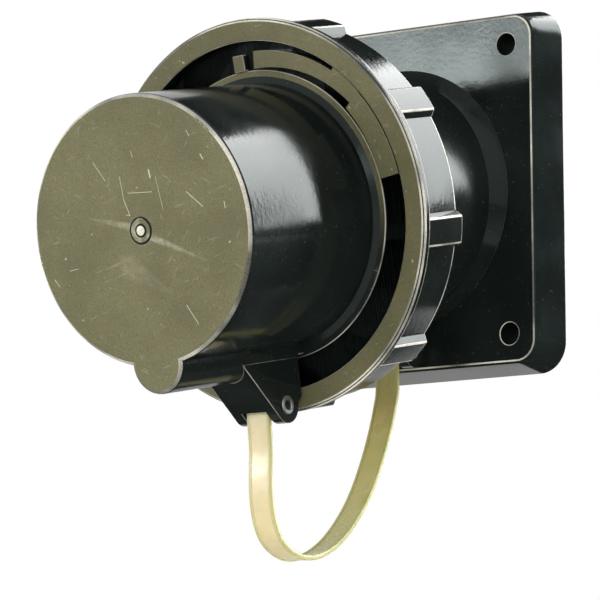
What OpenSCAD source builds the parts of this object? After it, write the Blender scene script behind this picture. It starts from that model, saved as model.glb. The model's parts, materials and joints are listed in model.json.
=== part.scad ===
// Appliance inlet for a panel, with a sloping axis, a bayonet coupling ring
// and a protective cap on a strap. The flange's back lies on the plane y = 0,
// the front faces -Y, and the plug axis leans downward by the slope.

/* [Flange] */
// Width of the flange at the panel
flange_w = 100; // [96:1:112]
// Height of the flange at the panel
flange_h = 107; // [103:1:120]
// Depth of the flange from the panel to its front face
flange_d = 12.5; // [11:0.5:16]
// Draft of each side wall from back to front
flange_draft = 2.2; // [1:0.1:3]
// Corner radius of the flange at the panel
flange_corner_r = 9; // [7:0.5:12]
// Thickness of the front plate
flange_plate = 4; // [3:0.5:5]
// Thickness of the rim that lies on the panel
flange_rim = 6; // [5:0.5:7]
// Distance between the screw holes across the flange
bolt_pitch_w = 77; // [74:0.5:79]
// Distance between the screw holes up the flange
bolt_pitch_h = 85; // [82:0.5:87]
// Diameter of the screw holes
bolt_hole_d = 6.5; // [4.5:0.5:7]
// Width of the gasket in the rim
gasket_w = 2.6; // [2:0.1:3]
// Depth of the gasket in the rim
gasket_t = 1.6; // [1:0.1:2.5]

/* [Neck] */
// Slope of the plug axis below the panel's normal, in degrees
slope = 10; // [6:1:12]
// Length of the neck along its axis
neck_l = 47; // [44:1:56]
// Wall of the neck
neck_wall = 4.6; // [4:0.1:5.5]
// Width of the blend between neck and flange
foot_spread = 3.4; // [2:0.2:4]

/* [Pin shroud] */
// Outer diameter of the shroud round the pins
shroud_d = 70; // [68:0.5:71]
// Wall of the shroud
shroud_wall = 2.6; // [2:0.1:3]
// Depth of the socket that takes the neck
socket_depth = 9; // [7:0.5:11]
// Diameter of the bearing that carries the ring
bearing_d = 86; // [85:0.5:87]
// Width of the keyway bulge of the shroud
keyway_w = 11.4; // [9:0.2:12]

/* [Contacts] */
// Diameter of the circle of pins
pin_circle_d = 36; // [34:0.5:38]
// Diameter of the phase and neutral pins
pin_d = 8; // [7:0.5:8.5]
// Diameter of the earth pin
earth_pin_d = 10; // [9:0.5:10.5]
// Diameter of the pilot pin
pilot_pin_d = 6; // [5:0.5:6.5]
// Distance from the pin tips to the shroud's mouth
pin_setback = 6; // [4:0.5:9]
// Length of the terminal behind the carrier
terminal_l = 20; // [18:0.5:22]

/* [Coupling ring] */
// Outer diameter of the ring
ring_d = 113; // [111:0.5:117]
// Width of the ring along the axis
ring_w = 19.5; // [18.5:0.5:24]
// Wall of the ring round its bore
ring_wall = 6.5; // [6:0.1:7.5]
// Height of the grip ribs
rib_h = 2.2; // [1.4:0.2:2.6]
// Width of a rib at its top
rib_w = 6.4; // [5:0.2:8]
// Number of ribs
rib_count = 9; // [7:1:11]
// Reach of the claws into the bore
claw_reach = 6.2; // [5.8:0.1:6.8]
// Thickness of the ring's claws
claw_t = 4; // [3.4:0.1:4.6]
// Pull of the ramp behind each claw
ramp_h = 1.5; // [0.8:0.1:1.8]
// Turn of the ring from open to locked, in degrees
ring_turn = 88; // [80:1:90]

/* [Cap] */
// Reach of the cap in front of the ring
cap_reach = 55.6; // [50:0.2:62]
// Wall of the cap
cap_wall = 2.4; // [2:0.1:2.8]
// Rounding of the cap's front edge
cap_round = 1.6; // [0.8:0.1:2]
// Width of the flat lip in front of the skirt
lip_w = 1.8; // [1.2:0.1:2.2]
// Width of the half-round key along the cap
key_w = 17.6; // [16.4:0.2:19]

/* [Strap] */
// Width of the strap
strap_w = 8; // [6:0.5:9]
// Thickness of the strap
strap_t = 1.5; // [1:0.1:2]
// Diameter of the pin that holds the strap on the cap
cap_pin_d = 5.2; // [4:0.2:5.6]
// Diameter of the pin that holds the strap on the neck
neck_pin_d = 4; // [3:0.2:4.4]

/* [Hidden] */
$fn = 72;

// Clearances
run_clear = 0.08;
fit_clear = 0.05;
slide_clear = 0.3;
cap_clear = 0.6;
overlap = 0.5;
through = 1;

// Edges of the flange and foot of the neck
flange_chamfer = 0.8;
foot_h = 9;
foot_sink = 2;

// Radii about the plug axis, from the pins outward
shroud_r = shroud_d / 2;
pin_space_r = shroud_r - shroud_wall;
neck_step = 0.6;
neck_r = shroud_r + neck_step;
neck_bore_r = neck_r - neck_wall;
bearing_r = bearing_d / 2;
thrust_step = 3;
thrust_r = bearing_r + thrust_step;
groove_depth = 1.6;
groove_r = bearing_r - groove_depth;
ring_r = ring_d / 2;
ring_bore_r = ring_r - ring_wall;
ring_band_r = ring_r - rib_h;
claw_r = ring_bore_r - claw_reach;
claw_clear = 2.2;
skirt_r = claw_r - claw_clear;
cap_bore_r = shroud_r + cap_clear;
nose_r = cap_bore_r + cap_wall;
lip_r = skirt_r - lip_w;

// Stations along the plug axis, from the flange face outward
shoulder_step = 1.7;
ring_play = 0.3;
web_t = 3.7;
retainer_t = 1.6;
retainer_land = 0.9;
seal_t = 1.2;
cap_lug_t = 5;
cap_lug_rise = 0.8;
lip_set = 2.3;
lip_slope = 0.9;
tab_gap = 1.1;
cap_front_t = 3;
mouth_gap = 3.1;
z_seat = neck_l;
z_base = z_seat - socket_depth;
z_thrust = z_seat + shoulder_step;
z_ring = z_thrust + ring_play;
z_ring_front = z_ring + ring_w;
z_web = z_ring + web_t;
z_retainer = z_web + ring_play;
z_band = z_retainer + retainer_t + retainer_land;
z_skirt = z_band + seal_t;
z_cap_lug = z_skirt + cap_lug_rise;
z_claw = z_ring_front - claw_t;
z_lip = z_ring_front - lip_set;
z_key = z_ring_front + tab_gap;
z_cap = z_ring_front + cap_reach;
z_mouth = z_cap - cap_front_t - mouth_gap;
z_pin_tip = z_mouth - pin_setback;

// Contact carrier, clamped between the neck's end and a step in the shroud
carrier_rim_t = 4;
carrier_boss_l = 11;
carrier_front_l = 5;
carrier_rim_step = 1.2;
carrier_rim_r = pin_space_r + carrier_rim_step;
z_rim = z_seat + carrier_rim_t;
z_carrier = z_seat - carrier_boss_l;
z_terminal = z_carrier - terminal_l;
terminal_r = 7;
pilot_terminal_r = 5;
wire_wall = 3;
wire_stop = 4;
collar_l = 3;
collar_step = 1.4;
pin_circle_r = pin_circle_d / 2;
pin_clock_step = 72;
earth_clock = 180;
screw_r = 2.5;
screw_places = [0.3, 0.7];

// Every contact as [clock, radius from the axis, pin diameter, terminal radius]
contacts = [for (i = [1:4]) [earth_clock + i * pin_clock_step, pin_circle_r, pin_d, terminal_r],
            [earth_clock, pin_circle_r, earth_pin_d, terminal_r],
            [0, 0, pilot_pin_d, pilot_terminal_r]];

// Joint between neck and shroud: a seal in a groove and three radial screws
seal_w = 2.6;
seal_rise = 2.2;
z_seal = z_seat - socket_depth / 2 + seal_rise;
shroud_screw_clocks = [60, 180, 300];
screw_bite = 2.4;
screw_rise = 2.6;
shroud_screw_l = thrust_r - neck_r + screw_bite;

// Bayonet claws of the ring, by the clock from the top
claw_start = 4.4;
claw_clock = 50.8;
claw_end = 81;
finger_clock = 38;
finger_t = 2;
claw_proud = 0.4;
slot_tip = 2.8;
slot_root = 1;
finger_tip_w = 4.8;
finger_root_w = 4;

// Lugs of the cap, by the clock: two that the claws hold and one index lug
lock_clock_lead = 1.2;
cap_lug_clock = claw_clock + ring_turn + lock_clock_lead;
cap_lug_clock_span = 20;
cap_lug_gap = 4;
cap_lug_r = ring_bore_r - cap_lug_gap;
index_clock = -4;
index_w = 3.8;
index_l = 4;
index_sink = 5.3;
index_gap = 3.6;
index_r = ring_bore_r - index_gap;

// Key ridge along the cap and keyway bulge of the shroud, both at the bottom
key_r = key_w / 2;
key_sink = 1.2;
key_drop = nose_r - key_sink;
skirt_bore_r = skirt_r - cap_wall;
cap_seal_lip = 0.5;
cap_seal_r = skirt_bore_r - cap_seal_lip;
keyway_r = keyway_w / 2;
keyway_drop = cap_seal_r - cap_clear - keyway_r;
keyway_rise = 1;
z_keyway = z_key + cap_wall + keyway_rise;

// Strap pins and the tab on the cap, as [distance along the axis, height]
cap_eye_out = 8.3;
cap_eye_drop = 15.7;
cap_eye = [z_ring_front + cap_eye_out, -(nose_r + cap_eye_drop)];
neck_eye_out = 13;
neck_eye_drop = 8.9;
neck_eye = [neck_eye_out, -(neck_r + neck_eye_drop)];
eye_wall = strap_t;
cap_eye_r = cap_pin_d / 2 + fit_clear + eye_wall;
neck_eye_r = neck_pin_d / 2 + fit_clear + eye_wall;
cheek_t = 3.6;
tab_w = strap_w + 2 * slide_clear + 2 * cheek_t;
eye_rim = 1;
tab_end_r = cap_eye_r + eye_rim;
tab_lean = 48;

// Route of the strap's middle line between its two eyes, as [distance, height]
strap_lead = 5;
strap_flare = 0.4;
strap_route = [[81, -65], [82.2, -71], [83.3, -77], [83.5, -83], [82.6, -88], [80.6, -91.8], [77, -95],
               [72, -97.4], [66.5, -98.2], [60.5, -97.6], [54, -95.6], [47.5, -92.2], [41, -87.6],
               [35, -82], [30, -76], [26, -70.6], [22.4, -65], [19.4, -59.6], [17.2, -54.6]];

plastic = "#23251f";
dull_plastic = "#3a3a34";
nickel = "#c9c4b2";
steel = "#9a9c9e";
rubber = "#1b1b1b";
strap_yellow = "#d8cb95";

// Flange frame: x right, y up, z out of the panel
module flange_frame() rotate([90, 0, 0]) children();

// Plug frame: z along the sloping axis, from the middle of the flange's face
module plug_frame() flange_frame() translate([0, 0, flange_d]) rotate([slope, 0, 0]) children();

// Place by the clock, seen from the front, at a radius
module at_clock(clock, r) rotate([0, 0, -clock]) translate([0, r, 0]) children();

// A profile drawn as [distance along the axis, height], extruded across the axis
module across(width) rotate([0, -90, 0]) linear_extrude(width, center = true) children();

module tube(r_out, r_in, z0, z1) {
    translate([0, 0, z0]) difference() {
        cylinder(r = r_out, h = z1 - z0);
        translate([0, 0, -through]) cylinder(r = r_in, h = z1 - z0 + 2 * through);
    }
}

// A round post or hole along the axis between two stations
module post(r, z0, z1) translate([0, 0, z0]) cylinder(r = r, h = z1 - z0);

module rounded_rect(w, h, r) {
    square([w - 2 * r, h], center = true);
    square([w, h - 2 * r], center = true);
    for (sx = [-1, 1], sy = [-1, 1]) translate([sx * (w / 2 - r), sy * (h / 2 - r)]) circle(r);
}

// A ring sector between two clock angles under half a turn apart
module sector(r_in, r_out, clock_0, clock_1) {
    reach = 2 * r_out;
    middle = (clock_0 + clock_1) / 2;
    intersection() {
        difference() {
            circle(r_out);
            circle(r_in);
        }
        polygon([[0, 0], for (c = [clock_0, middle, clock_1]) reach * [sin(c), cos(c)]]);
    }
}

// A round post with a rounded front edge
module rounded_post(r, z0, z1, edge) {
    translate([0, 0, z0]) rotate_extrude() {
        square([r, z1 - z0 - edge]);
        square([r - edge, z1 - z0]);
        translate([r - edge, z1 - z0 - edge]) intersection() {
            circle(edge);
            square(edge);
        }
    }
}

module for_bolts() {
    for (sx = [-1, 1], sy = [-1, 1])
        translate([sx * bolt_pitch_w / 2, sy * bolt_pitch_h / 2, 0]) children();
}

// Profile of the flange across one of its widths: drafted sides and a small front chamfer
module drafted_profile(width) {
    front = width / 2 - flange_draft;
    polygon([[-width / 2, 0], [width / 2, 0], [front, flange_d - flange_chamfer],
             [front - flange_chamfer, flange_d], [flange_chamfer - front, flange_d],
             [-front, flange_d - flange_chamfer]]);
}

// Outside of the flange: two crossing drafted slabs with a drafted post in each corner
module flange_block() {
    span_w = flange_w - 2 * flange_corner_r;
    span_h = flange_h - 2 * flange_corner_r;
    front_r = flange_corner_r - flange_draft;
    rotate([90, 0, 0]) linear_extrude(span_h, center = true) drafted_profile(flange_w);
    rotate([90, 0, 90]) linear_extrude(span_w, center = true) drafted_profile(flange_h);
    for (sx = [-1, 1], sy = [-1, 1]) translate([sx * span_w / 2, sy * span_h / 2, 0]) {
        cylinder(r1 = flange_corner_r, r2 = front_r, h = flange_d - flange_chamfer);
        translate([0, 0, flange_d - flange_chamfer])
            cylinder(r1 = front_r, r2 = front_r - flange_chamfer, h = flange_chamfer);
    }
}

// Flare at the neck's foot, square to the flange, that ends inside the neck
module neck_foot() {
    flange_frame() translate([0, 0, flange_d - through])
        cylinder(r1 = neck_r + foot_spread, r2 = neck_r - foot_sink, h = foot_h + through);
}

// Two cheeks under the neck that hold the strap's rear pin
module strap_cheeks() {
    cheek_r = neck_eye_r + eye_rim;
    cheek_foot = 3;
    cheek_h = 14;
    plug_frame() for (side = [-1, 1])
        translate([side * (strap_w / 2 + slide_clear + cheek_t / 2), 0, 0]) across(cheek_t) {
            translate(neck_eye) circle(cheek_r);
            translate([neck_eye[0] - cheek_r - cheek_foot, neck_eye[1]])
                square([2 * cheek_r + cheek_foot, cheek_h]);
        }
}

// Flange and neck as they are moulded
module housing_moulding() {
    pocket_corner_r = 4;
    boss_wall = 3.2;
    behind = 40;
    difference() {
        union() {
            difference() {
                union() {
                    flange_frame() flange_block();
                    neck_foot();
                    plug_frame() translate([0, 0, -neck_r * tan(slope)])
                        cylinder(r = neck_r, h = z_seat + neck_r * tan(slope));
                    strap_cheeks();
                }
                flange_frame() translate([0, 0, -behind]) linear_extrude(behind + flange_d - flange_plate)
                    rounded_rect(flange_w - 2 * flange_rim, flange_h - 2 * flange_rim, pocket_corner_r);
            }
            flange_frame() for_bolts() cylinder(d = bolt_hole_d + 2 * boss_wall, h = flange_d - through);
        }
        flange_frame() for_bolts() translate([0, 0, -through])
            cylinder(d = bolt_hole_d, h = flange_d + 2 * through);
        flange_frame() translate([0, 0, -through]) gasket_band(through + gasket_t);
        plug_frame() translate([0, 0, -behind]) cylinder(r = neck_bore_r, h = behind + z_seat + through);
        plug_frame() shroud_seal_ring(through);
        plug_frame() for_shroud_screws() cylinder(r = screw_r, h = shroud_screw_l + through);
        plug_frame() translate([0, neck_eye[1], neck_eye[0]]) rotate([0, 90, 0])
            cylinder(d = neck_pin_d + 2 * fit_clear, h = 2 * tab_w, center = true);
    }
}

// All that stands on one side of the flange's front face: 1 before it, -1 behind it
module beside_flange(side) {
    reach = 2 * neck_l;
    flange_frame() translate([0, 0, flange_d + side * reach / 2])
        cube([2 * flange_w, 2 * flange_h, reach], center = true);
}

module flange_housing() {
    color(plastic) difference() {
        housing_moulding();
        beside_flange(1);
    }
}

// Sloping neck of the housing, with the cheeks for the strap
module housing_neck() {
    color(plastic) difference() {
        housing_moulding();
        beside_flange(-1);
    }
}

// The gasket's band in the middle of the rim
module gasket_band(depth) {
    inset = flange_rim - gasket_w;
    linear_extrude(depth) difference() {
        rounded_rect(flange_w - inset, flange_h - inset, flange_corner_r - inset / 2);
        rounded_rect(flange_w - inset - 2 * gasket_w, flange_h - inset - 2 * gasket_w,
                     flange_corner_r - inset / 2 - gasket_w);
    }
}

module flange_gasket() {
    color(rubber) flange_frame() gasket_band(gasket_t);
}

// Seal between neck and shroud, or its groove in the neck where it stands proud
module shroud_seal_ring(proud = 0) {
    tube(neck_r + proud, neck_r - seal_w, z_seal - seal_w / 2, z_seal + seal_w / 2);
}

module shroud_seal() {
    color(rubber) plug_frame() shroud_seal_ring();
}

// Radial screws through the shroud's base into the neck
module for_shroud_screws() {
    for (clock = shroud_screw_clocks)
        at_clock(clock, neck_r - screw_bite) translate([0, 0, z_base + screw_rise])
            rotate([-90, 0, 0]) children();
}

module shroud_screws() {
    socket_r = 1.2;
    socket_l = 2;
    color(steel) plug_frame() for_shroud_screws() difference() {
        cylinder(r = screw_r - fit_clear, h = shroud_screw_l);
        translate([0, 0, shroud_screw_l - socket_l]) cylinder(r = socket_r, h = socket_l + through, $fn = 6);
    }
}

module pin_shroud() {
    color(plastic) plug_frame() difference() {
        union() {
            post(thrust_r, z_base, z_thrust);
            post(bearing_r, z_thrust - overlap, z_band);
            post(shroud_r, z_band - overlap, z_mouth);
            translate([0, -keyway_drop, 0]) post(keyway_r, z_keyway, z_mouth);
        }
        post(neck_r + fit_clear, z_base - through, z_seat);
        post(carrier_rim_r + fit_clear, z_seat - through, z_rim);
        post(pin_space_r, z_rim - through, z_mouth + through);
        translate([0, -keyway_drop, 0])
            post(keyway_r - shroud_wall, z_keyway + shroud_wall, z_mouth + through);
        tube(bearing_r + through, groove_r, z_retainer, z_retainer + retainer_t);
        for_shroud_screws() cylinder(r = screw_r, h = shroud_screw_l + through);
    }
}

// Snap ring that keeps the coupling ring on its bearing
module ring_retainer() {
    gap_w = 5;
    rise = 2.4;
    color(steel) plug_frame() difference() {
        tube(bearing_r + rise, groove_r + fit_clear,
             z_retainer + fit_clear, z_retainer + retainer_t - fit_clear);
        translate([-gap_w / 2, 0, z_retainer - through])
            cube([gap_w, 2 * bearing_r, retainer_t + 2 * through]);
    }
}

module contact_carrier() {
    color(dull_plastic) plug_frame() difference() {
        union() {
            post(neck_bore_r - slide_clear, z_carrier, z_seat + overlap);
            post(carrier_rim_r, z_seat, z_rim);
            post(pin_space_r - fit_clear, z_seat, z_rim + carrier_front_l);
        }
        for (c = contacts) at_clock(c[0], c[1]) translate([0, 0, z_carrier - through]) {
            cylinder(d = c[2] + 2 * fit_clear, h = z_rim + carrier_front_l - z_carrier + 2 * through);
            cylinder(r = contact_collar_r(c) + fit_clear, h = collar_l + through);
        }
    }
}

// A round pin with a collar in the carrier and a screw terminal behind it
function contact_collar_r(c) = c[2] / 2 + collar_step;
module contact(c) {
    tip = 1.2;
    r = c[2] / 2;
    color(nickel) plug_frame() at_clock(c[0], c[1]) difference() {
        union() {
            post(r, z_carrier - through, z_pin_tip - tip);
            translate([0, 0, z_pin_tip - tip]) cylinder(r1 = r, r2 = r - tip, h = tip);
            post(contact_collar_r(c), z_carrier - through, z_carrier + collar_l);
            post(c[3], z_terminal, z_carrier);
        }
        post(c[3] - wire_wall, z_terminal - through, z_carrier - wire_stop);
        for_terminal_screws() cylinder(r = screw_r, h = 2 * terminal_r);
    }
}

module for_terminal_screws() {
    for (share = screw_places)
        translate([0, 0, z_terminal + share * terminal_l]) rotate([-90, 0, 0]) children();
}

module phase_pin_1() { contact(contacts[0]); }
module phase_pin_2() { contact(contacts[1]); }
module phase_pin_3() { contact(contacts[2]); }
module neutral_pin() { contact(contacts[3]); }
module earth_pin() { contact(contacts[4]); }
module pilot_pin() { contact(contacts[5]); }

module terminal_screws() {
    proud = 1.2;
    slot_w = 0.8;
    slot_depth = 1;
    color(steel) plug_frame() for (c = contacts) at_clock(c[0], c[1]) for_terminal_screws() {
        wire_r = c[3] - wire_wall;
        head = c[3] + proud;
        difference() {
            translate([0, 0, wire_r]) cylinder(r = screw_r - fit_clear, h = head - wire_r);
            translate([-screw_r, -slot_w / 2, head - slot_depth])
                cube([2 * screw_r, slot_w, slot_depth + through]);
        }
    }
}

module strap_anchor_pin() {
    color(steel) plug_frame() translate([0, neck_eye[1], neck_eye[0]]) rotate([0, 90, 0])
        cylinder(d = neck_pin_d, h = tab_w, center = true);
}

// Ring body: rear web that runs on the bearing, band wall and front rim
module ring_body() {
    rim_w = 3;
    bevel = 0.8;
    z_rim_back = z_ring_front - rim_w;
    run_r = bearing_r + run_clear;
    rotate_extrude() polygon([
        [run_r, z_ring], [ring_band_r - bevel, z_ring], [ring_band_r, z_ring + bevel],
        [ring_band_r, z_rim_back], [ring_r, z_rim_back], [ring_r, z_ring_front - bevel],
        [ring_r - bevel, z_ring_front], [ring_bore_r, z_ring_front], [ring_bore_r, z_web], [run_r, z_web]]);
}

// Grip ribs with sloping flanks across the band
module ring_ribs() {
    flank = 2.3;
    first_clock = 20;
    root_r = ring_band_r - through;
    rib_sink = 0.15;
    rib_top_r = ring_r - rib_sink;
    rear_inset = 0.4;
    front_inset = 1;
    translate([0, 0, z_ring + rear_inset]) linear_extrude(ring_w - rear_inset - front_inset) intersection() {
        circle(rib_top_r);
        for (i = [0:rib_count - 1]) rotate(-first_clock - i * 360 / rib_count)
            polygon([[-rib_w / 2 - flank, root_r], [rib_w / 2 + flank, root_r],
                     [rib_w / 2, ring_r + through], [-rib_w / 2, ring_r + through]]);
    }
}

// A circle off the axis towards the claw's end: its edge is as far inside the ring's bore
// as stated where the finger's tip and the finger's root lie
module bent_circle(tip_in, root_in) {
    tip_share = cos(claw_end - claw_start);
    root_share = cos(claw_end - finger_clock);
    bend = (tip_in - root_in) / (root_share - tip_share);
    rotate(-claw_end) translate([0, bend]) circle(ring_bore_r - tip_in - bend * tip_share);
}

// Spring finger in plan: beside a tapering slot, and closer to the cap at its tip
module finger_plan() {
    clock_lap = 1;
    difference() {
        union() {
            sector(lip_r, ring_bore_r, finger_clock, claw_clock + clock_lap);
            intersection() {
                sector(lip_r, ring_bore_r, claw_start, finger_clock + clock_lap);
                bent_circle(slot_tip, slot_root);
            }
        }
        bent_circle(slot_tip + finger_tip_w, slot_root + finger_root_w);
    }
}

// Helical ramp behind the full claw: thin at the claw's leading end
module claw_ramp() {
    margin = 0.8;
    r_in = claw_r + margin;
    r_out = ring_bore_r - margin;
    steps = 8;
    clock_lead = 1;
    least = 0.05;
    function clock_at(i) =
        claw_clock + clock_lead + (claw_end - claw_clock - 2 * clock_lead) * i / steps;
    function depth_at(i) = ramp_h * (1 - i / steps) + least;
    points = [for (i = [0:steps]) let (c = clock_at(i), s = [sin(c), cos(c)])
                  each [[r_in * s[0], r_in * s[1], overlap], [r_out * s[0], r_out * s[1], overlap],
                        [r_out * s[0], r_out * s[1], -depth_at(i)],
                        [r_in * s[0], r_in * s[1], -depth_at(i)]]];
    last = 4 * steps;
    sides = [for (i = [0:steps - 1], k = [0:3])
                 [4 * i + k, 4 * i + (k + 1) % 4, 4 * i + 4 + (k + 1) % 4, 4 * i + 4 + k]];
    polyhedron(points, concat([[3, 2, 1, 0]], sides, [[last, last + 1, last + 2, last + 3]]));
}

module coupling_ring() {
    color(plastic) plug_frame() {
        ring_body();
        ring_ribs();
    }
}

// The two claws inside the ring's front edge
module ring_claws() {
    color(plastic) plug_frame() for (turn = [0, 180]) rotate(-turn) translate([0, 0, z_claw]) {
        linear_extrude(claw_t + claw_proud) sector(claw_r, ring_bore_r, claw_clock, claw_end);
        translate([0, 0, claw_t - finger_t]) linear_extrude(finger_t) finger_plan();
        claw_ramp();
    }
}

// Side view of the tab under the cap: a sloping front and a round end at the pin
module tab_plan() {
    lean = [sin(tab_lean), -cos(tab_lean)];
    front_low = cap_eye + tab_end_r * lean;
    tab_bite = 2;
    top = -(nose_r + tab_bite);
    front_high = [front_low[0] + (top - front_low[1]) / tan(tab_lean), top];
    rear = z_ring_front + tab_gap;
    rear_rise = 2;
    rear_low = cap_eye[1] + rear_rise;
    translate(cap_eye) circle(tab_end_r);
    polygon([front_low, front_high, [rear, top], [rear, rear_low],
             [cap_eye[0] - tab_end_r, cap_eye[1]], cap_eye]);
}

// Outside of the cap: nose, skirt with a flat lip, and the key ridge with a pad behind it
module cap_outside() {
    pad_inset = 1.2;
    pad_set = 0.8;
    pad_half = key_r - pad_inset;
    rounded_post(nose_r, z_lip, z_cap, cap_round);
    rotate_extrude() polygon([[0, z_skirt], [skirt_r, z_skirt], [skirt_r, z_lip], [lip_r, z_lip],
                              [nose_r, z_lip + lip_slope], [0, z_lip + lip_slope]]);
    translate([0, -key_drop, 0]) rounded_post(key_r, z_key, z_cap, cap_round);
    intersection() {
        post(skirt_r - pad_set, z_lip - overlap, z_key + overlap);
        translate([-pad_half, -2 * skirt_r, z_skirt]) cube([2 * pad_half, 2 * skirt_r, z_cap - z_skirt]);
    }
}

// Cap and skirt as they are moulded
module cap_moulding() {
    z_front_inside = z_cap - cap_front_t;
    channel_half = key_r - cap_wall;
    z_channel = z_key + 2 * cap_wall;
    difference() {
        cap_outside();
        post(cap_bore_r, z_skirt - through, z_front_inside);
        post(skirt_bore_r, z_skirt - through, z_lip - cap_wall);
        translate([0, -key_drop, 0]) post(channel_half, z_key + cap_wall, z_front_inside);
        intersection() {
            post(skirt_bore_r, z_skirt - through, z_channel);
            translate([-channel_half, -2 * skirt_r, z_skirt]) cube([2 * channel_half, 2 * skirt_r, z_cap]);
        }
    }
}

// Closed front of the cap with the key ridge
module cap() {
    color(plastic) plug_frame() difference() {
        cap_moulding();
        post(2 * skirt_r, z_skirt - through, z_key);
    }
}

// Skirt of the cap, from the lip back to the seal
module cap_skirt() {
    color(plastic) plug_frame() difference() {
        cap_moulding();
        post(2 * skirt_r, z_key, z_cap + through);
    }
}

// Lugs on the cap's skirt: two for the claws and the index lug
module cap_lugs() {
    half_span = cap_lug_clock_span / 2;
    color(plastic) plug_frame() {
        for (turn = [0, 180]) translate([0, 0, z_cap_lug]) linear_extrude(cap_lug_t) rotate(-turn)
            sector(skirt_r, cap_lug_r, cap_lug_clock - half_span, cap_lug_clock + half_span);
        difference() {
            at_clock(index_clock, 0) translate([-index_w / 2, skirt_r - through, z_ring_front - index_sink])
                cube([index_w, index_r - skirt_r + through, index_l]);
            post(skirt_r, z_skirt, z_key);
        }
    }
}

// Tab under the cap with two cheeks for the strap's pin
module cap_tab() {
    slot_reach = 20;
    color(plastic) plug_frame() difference() {
        across(tab_w) tab_plan();
        cap_outside();
        translate([0, cap_eye[1], cap_eye[0]]) rotate([0, 90, 0])
            cylinder(d = cap_pin_d + 2 * fit_clear, h = 2 * tab_w, center = true);
        across(strap_w + 2 * slide_clear) translate(cap_eye - [slot_reach, slot_reach])
            square([2 * slot_reach, slot_reach + cap_eye_r + slide_clear]);
    }
}

module cap_seal() {
    color(rubber) plug_frame() tube(skirt_r - fit_clear, cap_seal_r, z_band, z_skirt);
}

// Hollow pin through the tab's cheeks
module strap_pin() {
    hollow_r = 1.4;
    proud = 0.3;
    color(steel) plug_frame() translate([0, cap_eye[1], cap_eye[0]]) rotate([0, 90, 0]) difference() {
        cylinder(d = cap_pin_d, h = tab_w + 2 * proud, center = true);
        cylinder(r = hollow_r, h = 2 * tab_w, center = true);
    }
}

// The strap's whole middle line, from the front of one eye to the front of the other
function strap_line() = concat(
    [cap_eye + [cap_eye_r - strap_t / 2, 0], cap_eye + [cap_eye_r + strap_flare, -strap_lead]],
    strap_route,
    [neck_eye + [neck_eye_r, -strap_lead], neck_eye + [neck_eye_r - strap_t / 2, 0]]);

// Flat band swept along a line of [distance, height] points
module band(line, width, thick) {
    n = len(line);
    function unit(v) = v / norm(v);
    function side_at(i) = let (t = unit(line[min(i + 1, n - 1)] - line[max(i - 1, 0)])) [-t[1], t[0]];
    points = [for (i = [0:n - 1]) let (p = line[i], s = side_at(i) * thick / 2)
                  each [for (q = [[-1, 1], [1, 1], [1, -1], [-1, -1]])
                        [q[0] * width / 2, p[1] + q[1] * s[1], p[0] + q[1] * s[0]]]];
    last = 4 * (n - 1);
    sides = [for (i = [0:n - 2], k = [0:3])
                 [4 * i + k, 4 * i + (k + 1) % 4, 4 * i + 4 + (k + 1) % 4, 4 * i + 4 + k]];
    polyhedron(points, concat([[3, 2, 1, 0]], sides, [[last, last + 1, last + 2, last + 3]]));
}

module strap_eye(place, r_out, r_in) {
    translate([0, place[1], place[0]]) rotate([0, 90, 0]) difference() {
        cylinder(r = r_out, h = strap_w, center = true);
        cylinder(r = r_in, h = 2 * strap_w, center = true);
    }
}

module strap() {
    color(strap_yellow) plug_frame() {
        band(strap_line(), strap_w, strap_t);
        strap_eye(cap_eye, cap_eye_r, cap_eye_r - eye_wall);
        strap_eye(neck_eye, neck_eye_r, neck_eye_r - eye_wall);
    }
}

flange_housing();
housing_neck();
flange_gasket();
pin_shroud();
shroud_seal();
shroud_screws();
contact_carrier();
phase_pin_1();
phase_pin_2();
phase_pin_3();
neutral_pin();
earth_pin();
pilot_pin();
terminal_screws();
ring_retainer();
strap_anchor_pin();
coupling_ring();
ring_claws();
cap();
cap_skirt();
cap_lugs();
cap_tab();
cap_seal();
strap_pin();
strap();
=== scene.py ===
"""Looks of a panel appliance inlet: a sloping neck on a drafted flange, a bayonet
coupling ring, and a deep protective cap that hangs on a yellowed strap."""

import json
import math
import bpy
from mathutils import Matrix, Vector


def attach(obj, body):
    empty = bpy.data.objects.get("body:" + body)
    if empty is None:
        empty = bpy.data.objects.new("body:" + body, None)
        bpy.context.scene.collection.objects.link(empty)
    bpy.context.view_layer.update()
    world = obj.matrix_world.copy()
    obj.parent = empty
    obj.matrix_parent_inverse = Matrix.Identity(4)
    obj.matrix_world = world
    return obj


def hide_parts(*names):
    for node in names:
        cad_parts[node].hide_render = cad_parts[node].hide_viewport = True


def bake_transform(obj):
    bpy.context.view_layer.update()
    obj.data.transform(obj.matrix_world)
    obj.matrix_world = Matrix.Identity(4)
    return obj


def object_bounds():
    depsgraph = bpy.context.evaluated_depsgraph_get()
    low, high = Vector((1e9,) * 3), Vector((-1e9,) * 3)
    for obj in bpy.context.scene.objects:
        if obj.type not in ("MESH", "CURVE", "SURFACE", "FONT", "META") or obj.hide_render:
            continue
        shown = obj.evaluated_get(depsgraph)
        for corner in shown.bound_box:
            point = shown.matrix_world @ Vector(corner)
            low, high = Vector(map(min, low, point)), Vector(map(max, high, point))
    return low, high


bl_info = {
    "name": "Appliance Inlet",
    "version": (1, 0, 0),
    "blender": (4, 5, 0),
    "location": "View3D > Sidebar > Inlet",
    "description": "Builds the visible pieces, finishes, stage and camera of a panel appliance inlet",
    "category": "Object",
}

import bmesh
import bpy
from bpy.props import FloatProperty, FloatVectorProperty, IntProperty, PointerProperty
from mathutils import Matrix, Vector

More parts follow.
